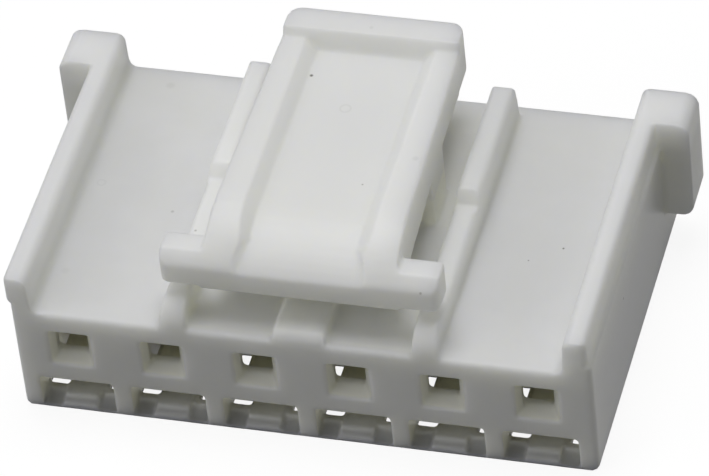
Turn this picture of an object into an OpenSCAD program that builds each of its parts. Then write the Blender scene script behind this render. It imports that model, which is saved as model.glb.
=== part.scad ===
// Wire to board connector housing: one moulded nylon body that carries a row of
// crimped terminals on a 2.5 mm pitch and latches to a shrouded header.
// Millimetres, +Z up, +X along the row, -Y the mating face, +Y the wire side.
// The origin is the middle of the footprint, on the flat underside.

/* [Row] */
// Number of circuits in the row
circuits = 6; // [5:1:12]
// Distance between neighbouring circuits
pitch = 2.5; // [2.4:0.05:3]
// From the middle of an end circuit to the outer side wall
end_margin = 1.51; // [1.4:0.01:2]

/* [Body] */
// Length of the body from mating face to wire side
body_depth = 9.76; // [8.1:0.02:11.8]
// Height of the body without its ribs
body_height = 3.4; // [3.3:0.05:4.1]
// Radius along the long outer edges
edge_round = 0.14; // [0.08:0.01:0.2]
// Radius of the upright edges at the mating face
face_round = 0.2; // [0.1:0.01:0.3]
// Sideways offset of the upper mould half, which forms side ribs and flanges
mould_offset = 0.1; // [0.02:0.01:0.12]
// Height of the small slope between lower side wall and side rib
side_step = 0.12; // [0.06:0.01:0.2]
// Lean of the side rib's outer face over its height
side_lean = 0.02; // [0:0.01:0.08]

/* [Side ribs and flanges] */
// Height of the side ribs above the body
side_rib_rise = 1.15; // [0.9:0.01:1.4]
// Thickness of a side rib at its top
side_rib_thick = 0.6; // [0.5:0.01:0.75]
// Extra thickness of a side rib at its root
side_rib_draft = 0.05; // [0:0.01:0.15]
// Radius of the inner top edge of a side rib
side_rib_round = 0.24; // [0.15:0.01:0.3]
// Radius in the corner between rib and body
root_fillet = 0.22; // [0.1:0.01:0.3]
// How far a grip flange stands out from the side wall
flange_out = 0.9; // [0.7:0.01:1.1]
// Length of a grip flange along the body
flange_depth = 1.34; // [1.1:0.02:1.7]
// Height of the flange's underside above the base
flange_low = 1.31; // [1:0.01:1.6]
// Radius of the flange's outer corners
flange_round = 0.37; // [0.25:0.01:0.5]

/* [Guide ribs] */
// From the middle of the part to a guide rib's inner face
guide_inner = 3.02; // [2.9:0.01:3.2]
// Width of a guide rib at its root
guide_width = 0.72; // [0.6:0.01:0.9]
// Lean of the guide rib's outer face over its height
guide_draft = 0.08; // [0:0.01:0.12]
// Rise of the rear part of a guide rib above the body
guide_rise_back = 1.05; // [0.88:0.01:1.26]
// Rise of the front part of a guide rib above the body
guide_rise_front = 0.72; // [0.6:0.01:0.8]
// Where the rib steps down, measured from the mating face
guide_step_at = 5.35; // [4.5:0.05:6.2]
// Length of the rounded front end of a guide rib
guide_nose = 0.85; // [0.6:0.05:1]
// Set-back of the guide ribs from the wire side
guide_setback = 0.37; // [0:0.01:0.6]
// Half width of the low ridge in the middle
ridge_half = 0.7; // [0.55:0.01:0.85]
// Rise of the low ridge above the body
ridge_rise = 0.26; // [0.2:0.01:0.32]

/* [Latch lever] */
// Clearance between body and lever over the legs
lever_clear = 1.55; // [1.35:0.01:1.85]
// Height of the lever from underside to side rims
lever_thick = 1.1; // [0.95:0.01:1.3]
// Half width of the lever at the thumb pad
lever_half_back = 2.4; // [2.1:0.01:2.45]
// Half width of the lever at the locking bar
lever_half_front = 2.6; // [2.5:0.01:2.7]
// Set-back of the thumb pad from the wire side
pad_setback = 0.08; // [0:0.01:0.3]
// Extra height of the ridge at the back of the pad
pad_ridge_rise = 0.25; // [0.15:0.01:0.35]
// Width of the ridge at the back of the pad
pad_ridge_depth = 0.85; // [0.7:0.01:1]
// Radius of the pad's rear corners seen from above
pad_corner = 0.46; // [0.3:0.01:0.6]
// Width of a side rim along its top
rim_width = 0.74; // [0.6:0.01:0.85]
// Depth of the recess between the side rims
recess_depth = 0.3; // [0.22:0.01:0.38]
// Run of the sloping recess walls
recess_slope = 0.33; // [0.2:0.01:0.4]
// Where the lever starts to curve down, from the mating face
nose_start = 2.6; // [2.2:0.05:3]
// Radius of that curve along the rims
nose_radius = 2.7; // [2.6:0.05:3.2]
// Radius of the same curve along the recess floor
floor_radius = 3.4; // [3.2:0.05:4]

/* [Locking bar and legs] */
// Set-back of the locking bar from the mating face
bar_setback = 0.58; // [0.4:0.01:0.8]
// Half length of the locking bar
bar_half = 3.72; // [3.5:0.01:3.95]
// Width of the bar's arms along the body
bar_depth = 0.95; // [0.75:0.01:1.15]
// Height of the arms' flat top above the lever's lowest edge
bar_height = 1.02; // [0.85:0.01:1.15]
// Drop of the lever's underside from legs to locking bar
bar_drop = 0.5; // [0.35:0.01:0.6]
// Step between the middle of the bar and its arms underneath
bar_step = 0.08; // [0.05:0.01:0.12]
// Corner radius of the bar's ends seen from above
bar_corner = 0.24; // [0.15:0.01:0.4]
// Radius of the bar's upper front edge
bar_edge_round = 0.25; // [0.15:0.01:0.35]
// Rear face of the legs, from the mating face
leg_back = 6.25; // [5.8:0.05:6.8]
// Thickness of the legs along the body
leg_depth = 1.35; // [1:0.05:1.6]
// Width of each leg
leg_width = 0.85; // [0.7:0.01:1]

/* [Terminal cavities] */
// Width of a terminal cavity
cavity_width = 2.02; // [1.8:0.01:2.1]
// Height of the terminal cavity's floor above the base
cavity_floor = 1.12; // [1:0.01:1.2]
// Thickness of the roof over the cavities
roof = 0.45; // [0.35:0.01:0.55]
// Thickness of the wall behind the mating face
face_wall = 0.6; // [0.5:0.01:0.8]
// Chamfer around each cavity's mouth on the wire side
mouth_chamfer = 0.16; // [0.1:0.01:0.2]
// Height of the pin holes above the base
hole_height = 2.21; // [2.1:0.01:2.3]
// Side of the square pin hole
hole_side = 0.72; // [0.66:0.01:0.8]
// Side of the square funnel around it
funnel_side = 1.21; // [1.1:0.01:1.3]
// Depth of the funnel
funnel_depth = 0.4; // [0.3:0.01:0.45]

/* [Lances] */
// Length of the sill along the foot of the mating face
sill_depth = 0.66; // [0.55:0.01:0.8]
// Thickness of the sill at its back
sill_height = 0.2; // [0.15:0.01:0.28]
// Width of the pad in the middle of the sill
sill_pad_width = 0.92; // [0.8:0.01:1]
// Rise of that pad above the sill
sill_pad_rise = 0.08; // [0.04:0.01:0.14]
// Width of a lance
lance_width = 0.92; // [0.75:0.01:1.1]
// Thickness of a lance
lance_thick = 0.45; // [0.36:0.01:0.54]
// Root of the lances, from the mating face
lance_root = 5.2; // [4.4:0.05:6]
// Height of a lance's catch above the cavity floor
lance_catch = 0.3; // [0.2:0.01:0.4]

/* [Hidden] */
$fn = 64;
eps = 0.01;
half_row = (circuits - 1) / 2 * pitch;
half_body = half_row + end_margin;
rib_top = body_height + side_rib_rise;
lever_low = body_height + lever_clear;
bar_low = lever_low - bar_drop;
rim_top = lever_low + lever_thick;
floor_top = rim_top - recess_depth;
lever_back = body_depth - pad_setback;
recess_half = lever_half_front - 0.08 - rim_width;
cavity_top = body_height - roof;
span = 2 * (half_body + flange_out) + 2;

// ---- helpers ---------------------------------------------------------------

// A rectangle from (x0,y0) to (x1,y1) with its own radius at each corner,
// given in the order lower left, lower right, upper right, upper left.
module rounded_box_2d(x0, y0, x1, y1, r) {
    difference() {
        translate([x0, y0]) square([x1 - x0, y1 - y0]);
        corner_cut(x0, y0, 1, 1, r[0]);
        corner_cut(x1, y0, -1, 1, r[1]);
        corner_cut(x1, y1, -1, -1, r[2]);
        corner_cut(x0, y1, 1, -1, r[3]);
    }
}

// The sliver outside a rounded corner at (x,y); sx and sy point into the body.
module corner_cut(x, y, sx, sy, r) {
    if (r > 0)
        difference() {
            translate([x - (sx < 0 ? r : 1), y - (sy < 0 ? r : 1)]) square([1 + r, 1 + r]);
            translate([x + sx * r, y + sy * r]) circle(r);
        }
}

// The sliver outside a rounded edge whose centre is c, between the outward
// directions a0 and a1 (degrees, a0 below a1) of the two surfaces that meet there.
module edge_cut_2d(c, a0, a1, r) {
    am = (a0 + a1) / 2;
    reach = (1 + r) / cos((a1 - a0) / 2);
    difference() {
        polygon([c, c + (1 + r) * [cos(a0), sin(a0)], c + reach * [cos(am), sin(am)],
                 c + (1 + r) * [cos(a1), sin(a1)]]);
        translate(c) circle(r);
    }
}

// The concave fillet between a level surface and a face that leans by the angle
// lean away from upright; s is +1 where the face stands on the right.
module root_fillet_2d(x, y, s, lean, r) {
    t = r * (1 - sin(lean)) / cos(lean);
    right = [[-t, -eps], [2 * eps, -eps], [t * sin(lean) + 2 * eps, t * cos(lean)], [-t, r]];
    difference() {
        polygon([for (i = [0 : 3]) let (p = right[s > 0 ? i : 3 - i]) [x + s * p[0], y + p[1]]]);
        translate([x - s * t, y + r]) circle(r);
    }
}

// Extrudes an X-Z section along the body between two distances from the face.
module along_body(y0, y1) {
    translate([0, y1, 0]) rotate([90, 0, 0]) linear_extrude(y1 - y0) children();
}

// Extrudes a Y-Z section across the body between two X positions.
module across_body(x0, x1) {
    translate([x0, 0, 0]) rotate([90, 0, 90]) linear_extrude(x1 - x0) children();
}

module each_circuit() {
    for (i = [0 : circuits - 1]) translate([i * pitch - half_row, 0, 0]) children();
}

module both_sides() {
    for (s = [0, 1]) mirror([s, 0, 0]) children();
}

// ---- body ------------------------------------------------------------------

// Section of the body across the row, with both side ribs.
module body_section() {
    step_z = body_height + 0.2 * side_rib_rise;
    upper = half_body;
    top = upper - side_lean;
    m = mould_offset;
    lean = atan(side_rib_draft / side_rib_rise);
    r = side_rib_round;
    difference() {
        polygon([[-half_body, 0], [half_body, 0], [half_body, step_z],
                 [upper - m, step_z + side_step], [top - m, rib_top], [-top - m, rib_top],
                 [-upper - m, step_z + side_step], [-half_body, step_z]]);
        polygon([[-rib_root() - m, body_height], [rib_root() - m, body_height],
                 [rib_root() + side_rib_draft - m, rib_top], [rib_root() + side_rib_draft - m, rib_top + 1],
                 [-rib_root() - side_rib_draft - m, rib_top + 1], [-rib_root() - side_rib_draft - m, rib_top]]);
        for (s = [-1, 1]) {
            corner_cut(s * half_body, 0, -s, 1, edge_round);
            corner_cut(s * top - m, rib_top, -s, -1, edge_round);
            edge_cut_2d([s * (rib_root() + side_rib_draft - r * tan(lean) + r / cos(lean)) - m, rib_top - r],
                        s > 0 ? 90 : lean, s > 0 ? 180 - lean : 90, r);
        }
    }
    for (s = [-1, 1])
        root_fillet_2d(s * rib_root() - m, body_height, s, lean, root_fillet);
}

// Inner root of a side rib, from the middle of the part.
function rib_root() = half_body - side_lean - side_rib_thick - side_rib_draft;

module body_block() {
    difference() {
        along_body(0, body_depth) body_section();
        // rounded upright edges at the mating face
        for (s = [-1, 1]) {
            split = body_height + 0.2 * side_rib_rise + side_step / 2;
            translate([0, 0, -1]) linear_extrude(split + 1)
                corner_cut(s * half_body, 0, -s, 1, face_round);
            translate([0, 0, split]) linear_extrude(rib_top)
                corner_cut(s * (half_body - side_lean / 2) - mould_offset, 0, -s, 1, face_round);
        }
        // rounded upper edge of the mating face between the side ribs
        across_body(-rib_root() + root_fillet, rib_root() - root_fillet - mould_offset)
            corner_cut(0, body_height, 1, -1, edge_round);
    }
}

// A grip flange at the wire end, standing out beside the body.
module flange() {
    along_body(body_depth - flange_depth, body_depth)
        rounded_box_2d(half_body - side_lean - side_rib_thick / 2, flange_low,
                       half_body + flange_out, rib_top,
                       [0, flange_round, flange_round, 0]);
}

// ---- top ribs --------------------------------------------------------------

// Side view of a guide rib: high behind, lower in front, rounded off at the face.
module guide_side() {
    low = body_height + guide_rise_front;
    high = body_height + guide_rise_back;
    step = guide_rise_back - guide_rise_front;
    back = body_depth - guide_setback;
    difference() {
        union() {
            translate([0, body_height - 2 * eps]) square([back, guide_rise_front + 2 * eps]);
            polygon([[guide_step_at - step, low - eps], [back, low - eps],
                     [back, high], [guide_step_at, high]]);
        }
        corner_cut(0, low, 1, -1, guide_nose);
        corner_cut(back, high, -1, -1, 0.14);
    }
}

// Section of a guide rib: upright inside, leaning outside, rounded along the top.
module guide_section(top) {
    outer = guide_inner + guide_width;
    r = 0.16;
    difference() {
        polygon([[guide_inner, body_height - 2 * eps], [outer, body_height - 2 * eps],
                 [outer - guide_draft, top], [guide_inner, top]]);
        corner_cut(guide_inner, top, 1, -1, r);
        corner_cut(outer - guide_draft, top, -1, -1, r);
    }
}

module guide_rib() {
    intersection() {
        union() {
            along_body(0, guide_step_at) guide_section(body_height + guide_rise_front);
            along_body(guide_step_at - 0.5, body_depth) guide_section(body_height + guide_rise_back);
        }
        across_body(guide_inner - 1, guide_inner + guide_width + 1) guide_side();
    }
}

// Low ridge under the lever, rounded off at the mating face.
module centre_ridge() {
    difference() {
        along_body(0, body_depth)
            rounded_box_2d(-ridge_half, body_height - eps, ridge_half, body_height + ridge_rise,
                           [0, 0, 0.12, 0.12]);
        across_body(-ridge_half - 1, ridge_half + 1)
            corner_cut(0, body_height + ridge_rise, 1, -1, ridge_rise + 0.1);
    }
}

// ---- latch lever -----------------------------------------------------------

// Half width of the lever at a distance from the mating face.
function lever_half(y) = lever_half_front
    + (lever_half_back - lever_half_front) * (y - bar_setback) / (lever_back - bar_setback);

// Height of the recess floor where it curves down towards the locking bar.
function floor_z(y) = floor_top - floor_radius + sqrt(pow(floor_radius, 2) - pow(nose_start - y, 2));

// Side view of the underside: level from the pad to the legs, then falling
// gently to the locking bar; the top is cut level.
module lever_side(top) {
    polygon([[bar_setback, bar_low], [leg_back - leg_depth / 2, lever_low],
             [lever_back, lever_low], [lever_back, top], [bar_setback, top]]);
}

// Section of the recess: level floor and sloping walls, open upwards. The base
// line of the section is the recess floor.
module recess_section() {
    deep = recess_half - recess_slope;
    polygon([[-deep, 0], [deep, 0], [recess_half, recess_depth], [recess_half, 2],
             [-recess_half, 2], [-recess_half, recess_depth]]);
}

// Rear part of the lever: thumb pad with its side rims and rear ridge.
module lever_rear() {
    intersection() {
        translate([0, 0, lever_low - 1]) linear_extrude(6) difference() {
            polygon([[-lever_half(nose_start), nose_start], [lever_half(nose_start), nose_start],
                     [lever_half_back, lever_back], [-lever_half_back, lever_back]]);
            corner_cut(lever_half_back, lever_back, -1, -1, pad_corner);
            corner_cut(-lever_half_back, lever_back, 1, -1, pad_corner);
        }
        difference() {
            union() {
                across_body(-4, 4) lever_side(rim_top);
                across_body(-4, 4) pad_ridge_side();
            }
            difference() {
                along_body(0, body_depth) translate([0, floor_top]) recess_section();
                across_body(-4, 4) pad_ridge_side();
            }
        }
    }
}

// Raised ridge across the back of the thumb pad.
module pad_ridge_side() {
    top = rim_top + pad_ridge_rise;
    difference() {
        polygon([[lever_back - pad_ridge_depth - 0.22, lever_low + 0.1],
                 [lever_back, lever_low + 0.1], [lever_back, top],
                 [lever_back - pad_ridge_depth, top],
                 [lever_back - pad_ridge_depth - 0.22, floor_top - 0.02]]);
        corner_cut(lever_back, top, -1, -1, 0.12);
    }
}

// Front part of the lever: it rolls down to the locking bar, whose two arms
// reach over the guide ribs.
module lever_front() {
    difference() {
        intersection() {
            union() {
                translate([0, 0, bar_low - 1]) linear_extrude(6)
                    polygon([[-lever_half_front, bar_setback], [lever_half_front, bar_setback],
                             [lever_half(nose_start), nose_start], [-lever_half(nose_start), nose_start]]);
                // the bar's arms end level, below the rims
                translate([0, 0, bar_low - 1]) linear_extrude(1 + bar_height)
                    rounded_box_2d(-bar_half, bar_setback, bar_half, bar_setback + bar_depth,
                                   [bar_corner, bar_corner, 0.15, 0.15]);
            }
            across_body(-bar_half - 1, bar_half + 1) difference() {
                intersection() {
                    lever_side(rim_top + 1);
                    translate([nose_start, rim_top - nose_radius]) circle(nose_radius, $fn = 128);
                }
                bar_edge_cut();
            }
        }
        // recess floor on its own, flatter curve
        translate([0, nose_start, floor_top - floor_radius])
            rotate([0, 90, 0]) rotate([0, 0, 170]) rotate_extrude(angle = 110, $fn = 128)
                translate([floor_radius, 0]) rotate([0, 0, -90]) recess_section();
        both_sides() {
            // the arms' undersides are a little higher than the bar's middle
            translate([lever_half_front + 0.05, 0, bar_low - 1])
                cube([bar_half, bar_setback + bar_depth + 1, 1 + bar_step]);
            // the recess flares at its mouth
            intersection() {
                linear_extrude(20)
                    polygon([[recess_half - recess_slope, bar_setback - 0.2],
                             [recess_half + 0.2, bar_setback - 0.2],
                             [recess_half + 0.1, bar_setback], [recess_half - 0.25, bar_setback + 0.8],
                             [recess_half - recess_slope, bar_setback + 0.8]]);
                across_body(0, 4)
                    polygon([[bar_setback - 0.2, floor_z(bar_setback) + 0.01],
                             [bar_setback, floor_z(bar_setback) + 0.01],
                             [bar_setback + 0.9, floor_z(bar_setback + 0.9) + 0.04],
                             [bar_setback + 0.9, rim_top + 1], [bar_setback - 0.2, rim_top + 1]]);
            }
        }
    }
}

// Rounding between the lever's curved front and the face of the locking bar.
module bar_edge_cut() {
    r = bar_edge_round;
    run = nose_start - bar_setback - r;
    rise = sqrt(pow(nose_radius - r, 2) - pow(run, 2));
    edge_cut_2d([bar_setback + r, rim_top - nose_radius + rise], 180 - atan(rise / run), 180, r);
}

// Two legs that carry the lever on the body and flex when the pad is pressed.
module legs() {
    both_sides()
        translate([0, 0, body_height - 2 * eps]) linear_extrude(lever_clear + 0.2)
            polygon([[lever_half(leg_back) - leg_width, leg_back - leg_depth],
                     [lever_half(leg_back - leg_depth), leg_back - leg_depth],
                     [lever_half(leg_back), leg_back],
                     [lever_half(leg_back) - leg_width, leg_back]]);
}

module lever() {
    lever_front();
    lever_rear();
    legs();
}

// ---- cavities --------------------------------------------------------------

// One terminal cavity: box for the crimped terminal, open on the wire side,
// with a chamfered mouth.
module cavity() {
    w = cavity_width / 2;
    along_body(face_wall, body_depth + 1)
        translate([-w, cavity_floor]) square([2 * w, cavity_top - cavity_floor]);
    // mouth on the wire side
    c = mouth_chamfer;
    intersection() {
        across_body(-w - c, w + c)
            polygon([[body_depth - c, cavity_floor], [body_depth + c, cavity_floor - 2 * c],
                     [body_depth + c, cavity_top + 2 * c], [body_depth - c, cavity_top]]);
        linear_extrude(20)
            polygon([[-w, body_depth - c], [w, body_depth - c],
                     [w + 2 * c, body_depth + c], [-w - 2 * c, body_depth + c]]);
    }
}

// Square funnel and pin hole in the mating face.
module pin_entry() {
    f = funnel_side / 2;
    h = hole_side / 2;
    intersection() {
        across_body(-f, f)
            polygon([[-eps, hole_height - f - eps], [funnel_depth, hole_height - h],
                     [funnel_depth, hole_height + h], [-eps, hole_height + f + eps]]);
        linear_extrude(20)
            polygon([[-f - eps, -eps], [f + eps, -eps], [h, funnel_depth], [-h, funnel_depth]]);
    }
    along_body(funnel_depth - eps, face_wall + eps)
        translate([-h, hole_height - h]) square([2 * h, 2 * h]);
}

// Room below a cavity in which the lance can bend, open at the mating face and
// through the underside.
module lance_well() {
    w = cavity_width / 2;
    along_body(-1, sill_depth + 0.01)
        translate([-w, sill_height]) square([2 * w, cavity_floor - sill_height]);
    // sill falls away towards the mating face
    across_body(-w, w)
        polygon([[-1, 0.03], [0, 0.03], [sill_depth, sill_height + eps], [sill_depth, cavity_floor], [-1, cavity_floor]]);
    translate([-w, sill_depth, -1]) cube([2 * w, lance_root - sill_depth, 1 + cavity_floor + eps]);
    translate([-w, face_wall - eps, sill_height]) cube([2 * w, lance_root - face_wall + eps, cavity_floor]);
}

// Raised pad in the middle of the sill, with a sloping front.
module sill_pad() {
    p = sill_pad_width / 2;
    top = sill_height + sill_pad_rise;
    across_body(-p, p)
        polygon([[0, 0], [sill_depth, 0], [sill_depth, top], [0.1, sill_height - 0.04], [0, 0.02]]);
}

// Flexible lance: a beam from the rear of the well with a catch at its tip.
module lance() {
    l = lance_width / 2;
    tip = sill_depth + 0.55;
    top = cavity_floor;
    across_body(-l, l)
        polygon([[tip, top - lance_thick], [lance_root + 0.3, top - lance_thick],
                 [lance_root + 0.3, top], [tip + 1.5, top],
                 [tip + 0.35, top + lance_catch], [tip, top + lance_catch]]);
}

// ---- housing ---------------------------------------------------------------

module housing() {
    color([0.93, 0.93, 0.91])
    translate([0, -body_depth / 2, 0])
    union() {
        difference() {
            union() {
                body_block();
                translate([-mould_offset, 0, 0]) both_sides() flange();
                both_sides() guide_rib();
                centre_ridge();
            }
            each_circuit() cavity();
            each_circuit() pin_entry();
            each_circuit() lance_well();
        }
        each_circuit() sill_pad();
        each_circuit() lance();
        lever();
    }
}

housing();
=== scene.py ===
"""Wire to board connector housing: one nylon moulding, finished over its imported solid.

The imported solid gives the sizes. Its mesh is copied, a few details of the circuits and
of the lever's nose are cut and filled, its edges are rounded as a mould rounds them, and
the piece is dressed as natural nylon with the small marks it carries. Lengths in the
classes are millimetres in the part's own frame: +X along the row of circuits, +Y to the
wire side, +Z up.
"""

import logging
import math
from dataclasses import dataclass, field
from enum import Enum
from typing import Any, Optional, Sequence, Union

import bmesh
import bpy
from mathutils import Matrix, Vector


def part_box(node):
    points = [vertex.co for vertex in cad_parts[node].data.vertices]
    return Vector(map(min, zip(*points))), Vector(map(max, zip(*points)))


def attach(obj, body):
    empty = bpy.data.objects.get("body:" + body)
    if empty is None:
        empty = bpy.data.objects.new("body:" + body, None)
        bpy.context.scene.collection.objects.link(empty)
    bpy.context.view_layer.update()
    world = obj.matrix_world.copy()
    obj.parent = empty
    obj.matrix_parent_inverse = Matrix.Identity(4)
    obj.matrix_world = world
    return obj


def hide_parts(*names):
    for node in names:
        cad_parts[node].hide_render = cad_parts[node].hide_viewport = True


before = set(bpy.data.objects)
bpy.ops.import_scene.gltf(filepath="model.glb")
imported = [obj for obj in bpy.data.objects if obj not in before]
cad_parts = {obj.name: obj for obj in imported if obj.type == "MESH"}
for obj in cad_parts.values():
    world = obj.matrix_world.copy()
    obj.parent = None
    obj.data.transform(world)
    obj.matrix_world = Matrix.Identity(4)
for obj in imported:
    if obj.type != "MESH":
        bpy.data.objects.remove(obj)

LOG = logging.getLogger("connector_housing")
MM = 0.001
WHITE = (1.0, 1.0, 1.0)
Number = Union[int, float]


class MarkKind(Enum):
    """What a small blemish on the moulding is."""

    FLECK = "dark fleck in the resin"
    SMUDGE = "faint grey spot"
    RING = "faint round witness mark"


@dataclass(frozen=True)
class Mark:
    """One blemish: its kind, its place on the surface and its size."""

    kind: MarkKind
    at: tuple[float, float, float]
    radius: float
    strength: float = 1.0


# ---------------------------------------------------------------- shader maths


class Value:
    """A shader socket that can be used in Python expressions."""

    def __init__(self, tree: "ShaderTree", socket: Any) -> None:
        """Wraps one socket.

        Args:
            tree: The tree that new nodes are added to.
            socket: The output socket that carries the value.
        """
        self.tree = tree
        self.socket = socket

    def _math(self, operation: str, *others: Union["Value", Number], flip: bool = False) -> "Value":
        """Adds a Math node.

        Args:
            operation: The node's operation.
            others: The further operands.
            flip: True when this value is the second operand.

        Returns:
            The result as a new value.
        """
        values: list[Union[Value, Number]] = [self, *others]
        if flip:
            values.reverse()
        return self.tree.add("ShaderNodeMath", {"operation": operation}, dict(enumerate(values)))

    def __add__(self, other: Union["Value", Number]) -> "Value":
        """Sum."""
        return self._math("ADD", other)

    def __radd__(self, other: Number) -> "Value":
        """Sum, reflected."""
        return self._math("ADD", other, flip=True)

    def __sub__(self, other: Union["Value", Number]) -> "Value":
        """Difference."""
        return self._math("SUBTRACT", other)

    def __rsub__(self, other: Number) -> "Value":
        """Difference, reflected."""
        return self._math("SUBTRACT", other, flip=True)

    def __mul__(self, other: Union["Value", Number]) -> "Value":
        """Product."""
        return self._math("MULTIPLY", other)

    def __rmul__(self, other: Number) -> "Value":
        """Product, reflected."""
        return self._math("MULTIPLY", other, flip=True)

    def largest(self, other: Union["Value", Number]) -> "Value":
        """The larger of two values."""
        return self._math("MAXIMUM", other)

    def size(self) -> "Value":
        """The value without its sign."""
        return self._math("ABSOLUTE")

    def fade(self, start: float, end: float) -> "Value":
        """A smooth step of this value.

        Args:
            start: Where the step is 0.
            end: Where the step is 1; it may be below start.

        Returns:
            The step, from 0 to 1.
        """
        low, high = (start, end) if start < end else (end, start)
        ends = (0.0, 1.0) if start < end else (1.0, 0.0)
        return self.tree.add(
            "ShaderNodeMapRange",
            {"interpolation_type": "SMOOTHSTEP", "clamp": True},
            {"Value": self, "From Min": low, "From Max": high, "To Min": ends[0], "To Max": ends[1]},
        )


class ShaderTree:
    """A material's or world's node tree, with one method that makes any node."""

    def __init__(self, owner: Union[bpy.types.Material, bpy.types.World]) -> None:
        """Empties the owner's node tree.

        Args:
            owner: The material or world to work on.
        """
        owner.use_nodes = True
        self.nodes = owner.node_tree.nodes
        self.links = owner.node_tree.links
        self.nodes.clear()

    def add(
        self,
        kind: str,
        settings: Optional[dict[str, Any]] = None,
        inputs: Optional[dict[Union[str, int], Any]] = None,
        output: Union[str, int] = 0,
    ) -> Value:
        """Adds a node.

        Args:
            kind: The node's type.
            settings: Properties of the node, set before its sockets.
            inputs: Values or links of its sockets, by name or number.
            output: The output to return.

        Returns:
            That output as a value.
        """
        node = self.nodes.new(kind)
        for name, setting in (settings or {}).items():
            setattr(node, name, setting)
        for name, value in (inputs or {}).items():
            socket = node.inputs[name]
            if isinstance(value, Value):
                self.links.new(value.socket, socket)
            else:
                socket.default_value = value
        return Value(self, node.outputs[output] if len(node.outputs) else None)

    def mix_colour(self, factor: Union[Value, Number], low: Any, high: Any) -> Value:
        """Mixes two colours.

        Args:
            factor: 0 gives low and 1 gives high.
            low: A colour or a value.
            high: A colour or a value.

        Returns:
            The mixed colour.
        """
        return self.add("ShaderNodeMix", {"data_type": "RGBA"}, {0: factor, 6: low, 7: high}, output=2)

    def unlit_rays(self) -> Value:
        """1 for rays that look at a background: camera, mirror and see-through rays."""
        paths = [self.add("ShaderNodeLightPath", output=name)
                 for name in ("Is Camera Ray", "Is Glossy Ray", "Is Transmission Ray")]
        return paths[0].largest(paths[1]).largest(paths[2])


# ---------------------------------------------------------------- finishes


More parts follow.
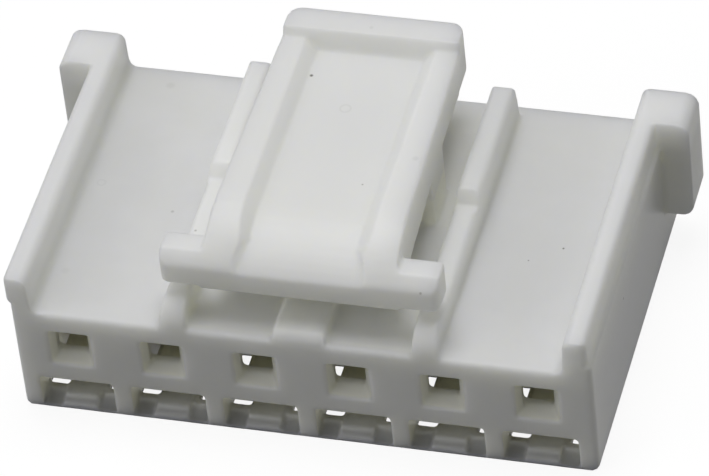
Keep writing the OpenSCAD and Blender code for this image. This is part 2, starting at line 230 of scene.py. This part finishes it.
@dataclass(frozen=True)
class NaturalNylon:
    """Unfilled nylon as moulded: off-white, slightly see-through, satin.

    The thin parts that stand up and the insides are set paler than the deck. The resin is one
    colour: the paler tints are painted light, for light that reaches those places through it.
    """

    colour: tuple[float, float, float] = (0.8, 0.802, 0.776)
    shade: tuple[float, float, float] = (0.775, 0.777, 0.746)
    # Painted light: a paler tint for the thin parts that stand above the deck, for the light they catch
    # and pass through the resin.
    raised_painted_light: tuple[float, float, float] = (0.872, 0.874, 0.85)
    fleck: tuple[float, float, float] = (0.11, 0.1, 0.08)
    smudge: tuple[float, float, float] = (0.56, 0.56, 0.54)
    # Painted light: a paler, warmer tint inside the circuits' cavities, for light that reaches them
    # through the resin.
    cavity_painted_light: tuple[float, float, float] = (0.985, 0.965, 0.77)
    # Painted light: a paler tint for the room under the lever, for light that reaches it through the
    # resin.
    under_lever_painted_light: tuple[float, float, float] = (0.985, 0.985, 0.86)
    roughness: float = 0.46
    depth: float = 1.4
    spread: tuple[float, float, float] = (1.0, 0.98, 0.82)
    refraction: float = 1.53
    grain: float = 0.055
    grain_depth: float = 0.0035
    grain_strength: float = 0.28
    cloud_scale: float = 420.0
    # How much of that painted-light tint the parts above the deck get.
    raised_painted_light_share: float = 0.9

    def _distance(self, tree: ShaderTree, place: Value, at: Sequence[float]) -> Value:
        """The distance in millimetres from a point.

        Args:
            tree: The tree to add to.
            place: The surface point.
            at: The point to measure from, in millimetres.

        Returns:
            The distance.
        """
        far = tree.add("ShaderNodeVectorMath", {"operation": "DISTANCE"},
                       {0: place, 1: [c * MM for c in at]}, output="Value")
        return far * (1 / MM)

    def _marks(self, tree: ShaderTree, place: Value, marks: Sequence[Mark]) -> dict[MarkKind, Value]:
        """Masks of the blemishes.

        Args:
            tree: The tree to add to.
            place: The surface point.
            marks: The blemishes.

        Returns:
            One mask for each kind that occurs.
        """
        masks: dict[MarkKind, Value] = {}
        for mark in marks:
            far = self._distance(tree, place, mark.at)
            if mark.kind is MarkKind.RING:
                mask = (far - mark.radius).size().fade(0.05, 0.0) * mark.strength
            else:
                mask = far.fade(mark.radius * 1.35, mark.radius * 0.35) * mark.strength
            masks[mark.kind] = masks[mark.kind].largest(mask) if mark.kind in masks else mask
        return masks

    def _painted_light_masks(self, tree: ShaderTree, place: Value) -> tuple[Value, Value, Value]:
        """Masks of painted light: the thin parts that stand up, and the insides that light reaches
        through the resin.

        Args:
            tree: The tree to add to.
            place: The surface point.

        Returns:
            The painted-light masks of the parts that stand up, of the cavities and of the room under
            the lever.
        """
        x, y, z = (tree.add("ShaderNodeSeparateXYZ", {}, {0: place}, output=axis) * (1 / MM)
                   for axis in "XYZ")
        aside = x.size()
        # Painted light over the inside of the body below 3 mm high, within its outer walls and faces.
        cavity_painted_light = (aside.fade(7.6, 7.5) * y.fade(-4.86, -4.78) * y.fade(4.85, 4.6)
                  * z.fade(0.0, 0.06) * z.fade(3.0, 2.9))
        # Painted light under the lever: between the deck and the lever, within 3.2 mm of the middle.
        under_lever_painted_light = (aside.fade(3.2, 2.9) * y.fade(-4.8, -4.6) * y.fade(4.3, 3.6)
                   * z.fade(3.2, 3.35) * z.fade(4.4, 4.15))
        # Everything above the deck gets painted light, fading in from 3.5 to 4 mm high.
        return z.fade(3.5, 4.0) * self.raised_painted_light_share, cavity_painted_light, under_lever_painted_light

    def material(self, marks: Sequence[Mark]) -> bpy.types.Material:
        """Builds the material.

        Args:
            marks: The blemishes on the piece.

        Returns:
            The material.
        """
        made = bpy.data.materials.new("natural_nylon")
        tree = ShaderTree(made)
        place = tree.add("ShaderNodeTexCoord", output="Object")
        cloud = tree.add("ShaderNodeTexNoise", {"noise_dimensions": "3D"},
                         {"Vector": place, "Scale": self.cloud_scale, "Detail": 3.0, "Roughness": 0.55})
        fine = tree.add(
            "ShaderNodeTexNoise",
            {"noise_dimensions": "3D"},
            {"Vector": place, "Scale": 1 / (self.grain * MM), "Detail": 2.0, "Roughness": 0.6},
        )
        masks = self._marks(tree, place, marks)
        colour = tree.mix_colour(cloud.fade(0.35, 0.68), (*self.shade, 1.0), (*self.colour, 1.0))
        # Painted light: these tints make the parts above the deck, the cavities and the room under the
        # lever paler, for light through the resin.
        for mask, tint in zip(self._painted_light_masks(tree, place), (self.raised_painted_light, self.cavity_painted_light, self.under_lever_painted_light)):
            colour = tree.mix_colour(mask, colour, (*tint, 1.0))
        for kind, tint, share in (
            (MarkKind.RING, self.smudge, 0.3),
            (MarkKind.SMUDGE, self.smudge, 0.55),
            (MarkKind.FLECK, self.fleck, 0.9),
        ):
            if kind in masks:
                colour = tree.mix_colour(masks[kind] * share, colour, (*tint, 1.0))
        rough = self.roughness + (fine - 0.5) * 0.12 + (cloud - 0.5) * 0.08
        bump = tree.add(
            "ShaderNodeBump",
            {},
            {"Strength": self.grain_strength, "Distance": self.grain_depth * MM, "Height": fine},
        )
        surface = tree.add(
            "ShaderNodeBsdfPrincipled",
            {},
            {
                "Base Color": colour,
                "Roughness": rough,
                "Normal": bump,
                "IOR": self.refraction,
                "Subsurface Weight": 1.0,
                "Subsurface Radius": self.spread,
                "Subsurface Scale": self.depth * MM,
            },
        )
        tree.add("ShaderNodeOutputMaterial", {}, {"Surface": surface})
        return made


@dataclass(frozen=True)
class PaleTable:
    """A pale table top that keeps the piece's shadow and throws back little light."""

    seen: float = 0.14
    glow: float = 0.9
    bounce: float = 0.3

    def material(self) -> bpy.types.Material:
        """Builds the material."""
        made = bpy.data.materials.new("pale_table")
        tree = ShaderTree(made)
        lit = tree.add("ShaderNodeBsdfDiffuse", {}, {"Color": (self.seen,) * 3 + (1.0,)})
        glow = tree.add("ShaderNodeEmission", {}, {"Color": (*WHITE, 1.0), "Strength": self.glow})
        seen = tree.add("ShaderNodeAddShader", {}, {0: lit, 1: glow})
        dull = tree.add("ShaderNodeBsdfDiffuse", {}, {"Color": (self.bounce,) * 3 + (1.0,)})
        both = tree.add("ShaderNodeMixShader", {}, {0: tree.unlit_rays(), 1: dull, 2: seen})
        tree.add("ShaderNodeOutputMaterial", {}, {"Surface": both})
        return made


# ---------------------------------------------------------------- the moulding


@dataclass(frozen=True)
class Block:
    """A box by its sides: across the row, back from the mating face, and up.

    It is made at every circuit from the one numbered first, counted from 0 at the -X end.
    """

    across: tuple[float, float]
    back: tuple[float, float]
    up: tuple[float, float]
    first: int = 0

    def add_to(self, shape: bmesh.types.BMesh, middle: float, face: float) -> None:
        """Adds the box.

        Args:
            shape: The geometry to add to, in millimetres.
            middle: The circuit's place along the row.
            face: The mating face's place.
        """
        spans = (self.across, self.back, self.up)
        made = bmesh.ops.create_cube(shape, size=1.0)["verts"]
        bmesh.ops.scale(shape, vec=[high - low for low, high in spans], verts=made)
        centre = Vector((middle, face, 0)) + Vector([sum(span) / 2 for span in spans])
        bmesh.ops.translate(shape, vec=centre, verts=made)


@dataclass
class CircuitDetails:
    """What the circuits show through their openings: the lance, its stop and the edges.

    The wall notch is in the third to the sixth circuit only, because light shows through
    those alone.
    """

    circuits: int = 6
    pitch: float = 2.5
    face: float = -4.88
    lance_tip: Block = Block((-0.46, 0.46), (0.92, 1.35), (0.68, 1.42))
    lance_stop: Block = Block((-0.46, 0.46), (0.3, 1.3), (0.0, 0.28))
    lance_shoulder: Block = Block((-0.64, -0.4), (1.0, 2.8), (0.67, 1.12))
    rear_floor: Block = Block((-1.4, -0.4), (2.67, 3.4), (0.0, 0.25))
    sill_edge: Block = Block((-1.02, 1.02), (0.5, 0.7), (0.02, 0.25))
    window_top: Block = Block((-1.02, 1.02), (0.05, 0.5), (1.03, 1.2))
    side_stop: Block = Block((0.4, 0.63), (0.6, 1.3), (0.0, 0.25))
    wall_notch: Block = Block((-1.28, -0.9), (1.9, 2.68), (-0.2, 0.7), first=2)
    hole_relief: Block = Block((-0.48, -0.3), (0.3, 0.7), (1.86, 2.56))

    def filled(self) -> tuple[Block, ...]:
        """The blocks that are filled."""
        return (self.lance_tip, self.lance_stop, self.lance_shoulder, self.rear_floor,
                self.sill_edge, self.window_top, self.side_stop)

    def cut(self) -> tuple[Block, ...]:
        """The blocks that are cut away."""
        return self.wall_notch, self.hole_relief

    def add_to(self, shape: bmesh.types.BMesh, blocks: Sequence[Block]) -> None:
        """Adds blocks at every circuit that has them.

        Args:
            shape: The geometry to add to, in millimetres.
            blocks: The blocks of one circuit.
        """
        for index in range(self.circuits):
            middle = (index - (self.circuits - 1) / 2) * self.pitch
            for block in blocks:
                if index >= block.first:
                    block.add_to(shape, middle, self.face)


@dataclass
class RecessCheeks:
    """The recess's two walls over the lever's nose, which run on straight to the press bar."""

    outside: float = 2.3
    inside: float = 1.3
    nose: tuple[float, float] = (-2.28, 3.35)
    radius: float = 2.69
    front: tuple[float, float, float] = (1.66, -4.3, 5.085)
    rear: tuple[float, float, float] = (1.45, -3.5, 5.524)
    lean: tuple[float, float, float] = (0.33, 0.0, 0.3)
    ends: tuple[float, float] = (-4.28, -3.4)
    bottom: float = 4.9
    segments: int = 256

    def _trim(self, shape: bmesh.types.BMesh, at: Sequence[float], away: Sequence[float]) -> None:
        """Cuts the cheek along a plane and closes the cut.

        Args:
            shape: The cheek.
            at: A point of the plane.
            away: The direction whose side is cut off.
        """
        cut = bmesh.ops.bisect_plane(shape, geom=[*shape.verts, *shape.edges, *shape.faces],
                                     plane_co=at, plane_no=away, clear_outer=True)
        rim = [part for part in cut["geom_cut"] if isinstance(part, bmesh.types.BMEdge)]
        bmesh.ops.contextual_create(shape, geom=rim)

    def build(self, side: int) -> bmesh.types.BMesh:
        """Builds one cheek, in millimetres.

        Args:
            side: 1 for the right one and -1 for the left one.

        Returns:
            The closed cheek.
        """
        cheek = bmesh.new()
        bmesh.ops.create_cone(cheek, cap_ends=True, segments=self.segments, radius1=self.radius,
                              radius2=self.radius, depth=self.outside - self.inside)
        bmesh.ops.rotate(cheek, matrix=Matrix.Rotation(math.pi / 2, 3, "Y"), verts=cheek.verts)
        middle = side * (self.outside + self.inside) / 2
        bmesh.ops.translate(cheek, vec=(middle, *self.nose), verts=cheek.verts)
        front, rear, lean = (Vector((side * x, y, z)) for x, y, z in (self.front, self.rear, self.lean))
        wall = (rear - front).cross(lean)
        if wall.x * side > 0:
            wall.negate()
        self._trim(cheek, front, wall)
        self._trim(cheek, (0, self.ends[0], 0), (0, -1, 0))
        self._trim(cheek, (0, self.ends[1], 0), (0, 1, 0))
        self._trim(cheek, (0, 0, self.bottom), (0, 0, -1))
        bmesh.ops.recalc_face_normals(cheek, faces=cheek.faces)
        return cheek


@dataclass
class Moulding:
    """The housing itself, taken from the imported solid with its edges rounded."""

    node: str = "housing"
    details: CircuitDetails = field(default_factory=CircuitDetails)
    cheeks: RecessCheeks = field(default_factory=RecessCheeks)
    merge: float = 0.0002
    cell: float = 0.045
    rounding: int = 5
    softness: float = 0.5
    most_triangles: int = 190000
    finish: NaturalNylon = field(default_factory=NaturalNylon)
    marks: Sequence[Mark] = (
        Mark(MarkKind.FLECK, (-1.354, 2.717, 5.75), 0.05),
        Mark(MarkKind.FLECK, (5.998, -0.308, 3.4), 0.032),
        Mark(MarkKind.FLECK, (5.197, -0.891, 3.4), 0.025, 0.7),
        Mark(MarkKind.FLECK, (-4.532, -0.548, 3.4), 0.05, 0.35),
        Mark(MarkKind.FLECK, (-3.46, -1.882, 4.12), 0.04, 0.5),
        Mark(MarkKind.FLECK, (3.27, -4.275, 5.152), 0.04, 0.4),
        Mark(MarkKind.FLECK, (1.013, -1.165, 5.75), 0.03, 0.5),
        Mark(MarkKind.FLECK, (7.76, -1.229, 2.742), 0.04, 0.6),
        Mark(MarkKind.SMUDGE, (-5.907, 4.242, 3.4), 0.13, 0.5),
        Mark(MarkKind.SMUDGE, (-0.045, 4.213, 6.3), 0.06, 0.4),
        Mark(MarkKind.SMUDGE, (-6.729, -3.169, 3.4), 0.12, 0.3),
        Mark(MarkKind.SMUDGE, (2.24, -0.302, 6.05), 0.09, 0.4),
        Mark(MarkKind.RING, (-6.715, 0.243, 3.4), 0.11, 0.6),
        Mark(MarkKind.RING, (-0.143, 1.6, 5.75), 0.14, 0.7),
    )

    def _copy(self) -> bpy.types.Object:
        """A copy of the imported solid's mesh in millimetres, with its doubles merged."""
        shape = bmesh.new()
        shape.from_mesh(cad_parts[self.node].data)
        bmesh.ops.remove_doubles(shape, verts=shape.verts, dist=self.merge * MM)
        bmesh.ops.scale(shape, vec=(1 / MM,) * 3, verts=shape.verts)
        return new_piece("housing_rough", shape)

    def _refine(self, rough: bpy.types.Object) -> None:
        """Cuts and fills the small details of the circuits and of the lever's nose.

        Args:
            rough: The copy to work on, in millimetres.
        """
        cutter = bmesh.new()
        self.details.add_to(cutter, self.details.cut())
        tool = new_piece("housing_cutter", cutter)
        self._apply(rough, "BOOLEAN", operation="DIFFERENCE", object=tool, solver="EXACT")
        bpy.data.objects.remove(tool)
        shape = bmesh.new()
        shape.from_mesh(rough.data)
        self.details.add_to(shape, self.details.filled())
        for side in (-1, 1):
            cheek = self.cheeks.build(side)
            spare = bpy.data.meshes.new("cheek")
            cheek.to_mesh(spare)
            cheek.free()
            shape.from_mesh(spare)
            bpy.data.meshes.remove(spare)
        shape.to_mesh(rough.data)
        shape.free()
        LOG.info("circuit details and recess cheeks")

    def _apply(self, piece: bpy.types.Object, kind: str, **settings: Any) -> None:
        """Adds one modifier and makes its result the piece's mesh.

        Args:
            piece: The piece to change.
            kind: The modifier's type.
            settings: The modifier's settings.
        """
        modifier = piece.modifiers.new(kind.lower(), kind)
        for name, value in settings.items():
            setattr(modifier, name, value)
        seen = piece.evaluated_get(bpy.context.evaluated_depsgraph_get())
        made = bpy.data.meshes.new_from_object(seen)
        piece.modifiers.clear()
        old, piece.data = piece.data, made
        bpy.data.meshes.remove(old)

    def build(self) -> bpy.types.Object:
        """Builds the rounded moulding and dresses it.

        Returns:
            The finished piece.
        """
        low, high = (Vector(corner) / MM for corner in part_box(self.node))
        rough = self._copy()
        self._refine(rough)
        self._apply(rough, "REMESH", mode="VOXEL", voxel_size=self.cell, adaptivity=0.0)
        self._apply(rough, "SMOOTH", factor=self.softness, iterations=self.rounding)
        ratio = min(1.0, self.most_triangles / (2 * len(rough.data.polygons)))
        self._apply(rough, "DECIMATE", decimate_type="COLLAPSE", ratio=ratio)
        shape = bmesh.new()
        shape.from_mesh(rough.data)
        for vert in shape.verts:
            vert.co = Vector(max(least, min(most, at)) for least, at, most in zip(low, vert.co, high))
        bmesh.ops.scale(shape, vec=(MM,) * 3, verts=shape.verts)
        bpy.data.objects.remove(rough)
        piece = new_piece("housing_moulding", shape, smooth=True)
        piece.data.materials.append(self.finish.material(self.marks))
        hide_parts(self.node)
        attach(piece, "root")
        return piece


def new_piece(name: str, shape: bmesh.types.BMesh, smooth: bool = False) -> bpy.types.Object:
    """Makes an object of a bmesh, and frees the bmesh.

    Args:
        name: The object's name.
        shape: The geometry, in its place.
        smooth: True for smooth shading.

    Returns:
        The linked object, at the origin.
    """
    mesh = bpy.data.meshes.new(name)
    if smooth:
        for face in shape.faces:
            face.smooth = True
    shape.to_mesh(mesh)
    shape.free()
    piece = bpy.data.objects.new(name, mesh)
    bpy.context.scene.collection.objects.link(piece)
    return piece


# ---------------------------------------------------------------- the studio


@dataclass(frozen=True)
class Softbox:
    """A square lamp that looks at the part, with its share of a full white light."""

    name: str
    azimuth: float
    elevation: float
    share: float
    distance: float = 320.0
    side: float = 200.0
    colour: tuple[float, float, float] = WHITE

    def build(self, target: Vector) -> bpy.types.Object:
        """Places the lamp.

        Args:
            target: What it looks at, in metres.

        Returns:
            The lamp.
        """
        lamp = bpy.data.lights.new(self.name, "AREA")
        lamp.size = self.side * MM
        lamp.color = self.colour
        lamp.energy = self.share * (math.pi * self.distance * MM) ** 2
        made = bpy.data.objects.new(self.name, lamp)
        aim = aim_matrix(self.azimuth, self.elevation)
        made.matrix_world = standing_at(target, aim, self.distance)
        bpy.context.scene.collection.objects.link(made)
        return made


def aim_matrix(azimuth: float, elevation: float, roll: float = 0.0) -> Matrix:
    """The turn of a camera or lamp that looks down its own -Z at the part.

    Args:
        azimuth: Degrees round the part; 0 stands in front and 90 on the +X side.
        elevation: Degrees above the table.
        roll: Degrees about the line of sight.

    Returns:
        A 3 by 3 rotation.
    """
    turn = Matrix.Rotation(math.radians(azimuth), 3, "Z")
    tilt = Matrix.Rotation(math.radians(90 - elevation), 3, "X")
    return turn @ tilt @ Matrix.Rotation(math.radians(roll), 3, "Z")


def standing_at(target: Vector, aim: Matrix, distance: float) -> Matrix:
    """The place of a camera or lamp that looks at a point.

    Args:
        target: The point, in metres.
        aim: The turn of the camera or lamp.
        distance: How far it stands from the point, in millimetres.

    Returns:
        A 4 by 4 matrix.
    """
    return Matrix.Translation(target + aim @ Vector((0, 0, distance * MM))) @ aim.to_4x4()


@dataclass
class Studio:
    """Table, lamps, sky and camera."""

    sky: float = 0.14
    sky_colour: tuple[float, float, float] = (0.98, 0.99, 1.0)
    table_half_side: float = 1500.0
    sensor: float = 36.0
    clip: tuple[float, float] = (5.0, 10000.0)
    view_azimuth: float = 18.787
    view_elevation: float = 43.195
    view_roll: float = -6.74
    view_distance: float = 162.57
    view_lens: float = 314.25
    view_target: tuple[float, float, float] = (0.324, -0.28, 2.906)
    table: PaleTable = field(default_factory=PaleTable)
    lamps: Sequence[Softbox] = (
        Softbox("key", azimuth=190.0, elevation=78.0, share=0.58),
        Softbox("left_fill", azimuth=-54.0, elevation=30.0, share=0.2),
    )

    def _build_table(self) -> bpy.types.Object:
        """A wide table top at the underside's height."""
        shape = bmesh.new()
        bmesh.ops.create_grid(shape, x_segments=1, y_segments=1, size=self.table_half_side * MM)
        bmesh.ops.translate(shape, vec=(0, 0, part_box("housing")[0][2]), verts=shape.verts)
        made = new_piece("table", shape)
        made.data.materials.append(self.table.material())
        return made

    def _build_sky(self) -> None:
        """An even sky that shows white and lights softly."""
        world = bpy.data.worlds.new("sky")
        bpy.context.scene.world = world
        tree = ShaderTree(world)
        dim = tree.add("ShaderNodeBackground", {},
                       {"Color": (*self.sky_colour, 1.0), "Strength": self.sky})
        white = tree.add("ShaderNodeBackground", {}, {"Color": (*WHITE, 1.0), "Strength": 1.0})
        both = tree.add("ShaderNodeMixShader", {}, {0: tree.unlit_rays(), 1: dim, 2: white})
        tree.add("ShaderNodeOutputWorld", {}, {"Surface": both})

    def _build_camera(self) -> bpy.types.Object:
        """The camera, at the working view."""
        data = bpy.data.cameras.new("camera")
        data.sensor_width = self.sensor
        data.lens = self.view_lens
        data.clip_start, data.clip_end = (limit * MM for limit in self.clip)
        made = bpy.data.objects.new("camera", data)
        aim = aim_matrix(self.view_azimuth, self.view_elevation, self.view_roll)
        made.matrix_world = standing_at(Vector(self.view_target) * MM, aim, self.view_distance)
        bpy.context.scene.collection.objects.link(made)
        bpy.context.scene.camera = made
        return made

    def build(self) -> None:
        """Builds the whole studio."""
        bpy.context.scene.view_settings.view_transform = "Standard"
        self._build_table()
        self._build_sky()
        for lamp in self.lamps:
            lamp.build(Vector(self.view_target) * MM)
        self._build_camera()
        LOG.info("studio ready with %d lamps", len(self.lamps))


def main() -> None:
    """Builds the studio and the moulding, and reports each."""
    logging.basicConfig(level=logging.INFO, format="%(name)s: %(message)s")
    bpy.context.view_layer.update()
    Studio().build()
    piece = Moulding().build()
    LOG.info("%s: %d triangles", piece.name, sum(len(p.vertices) - 2 for p in piece.data.polygons))


if __name__ == "__main__":
    main()
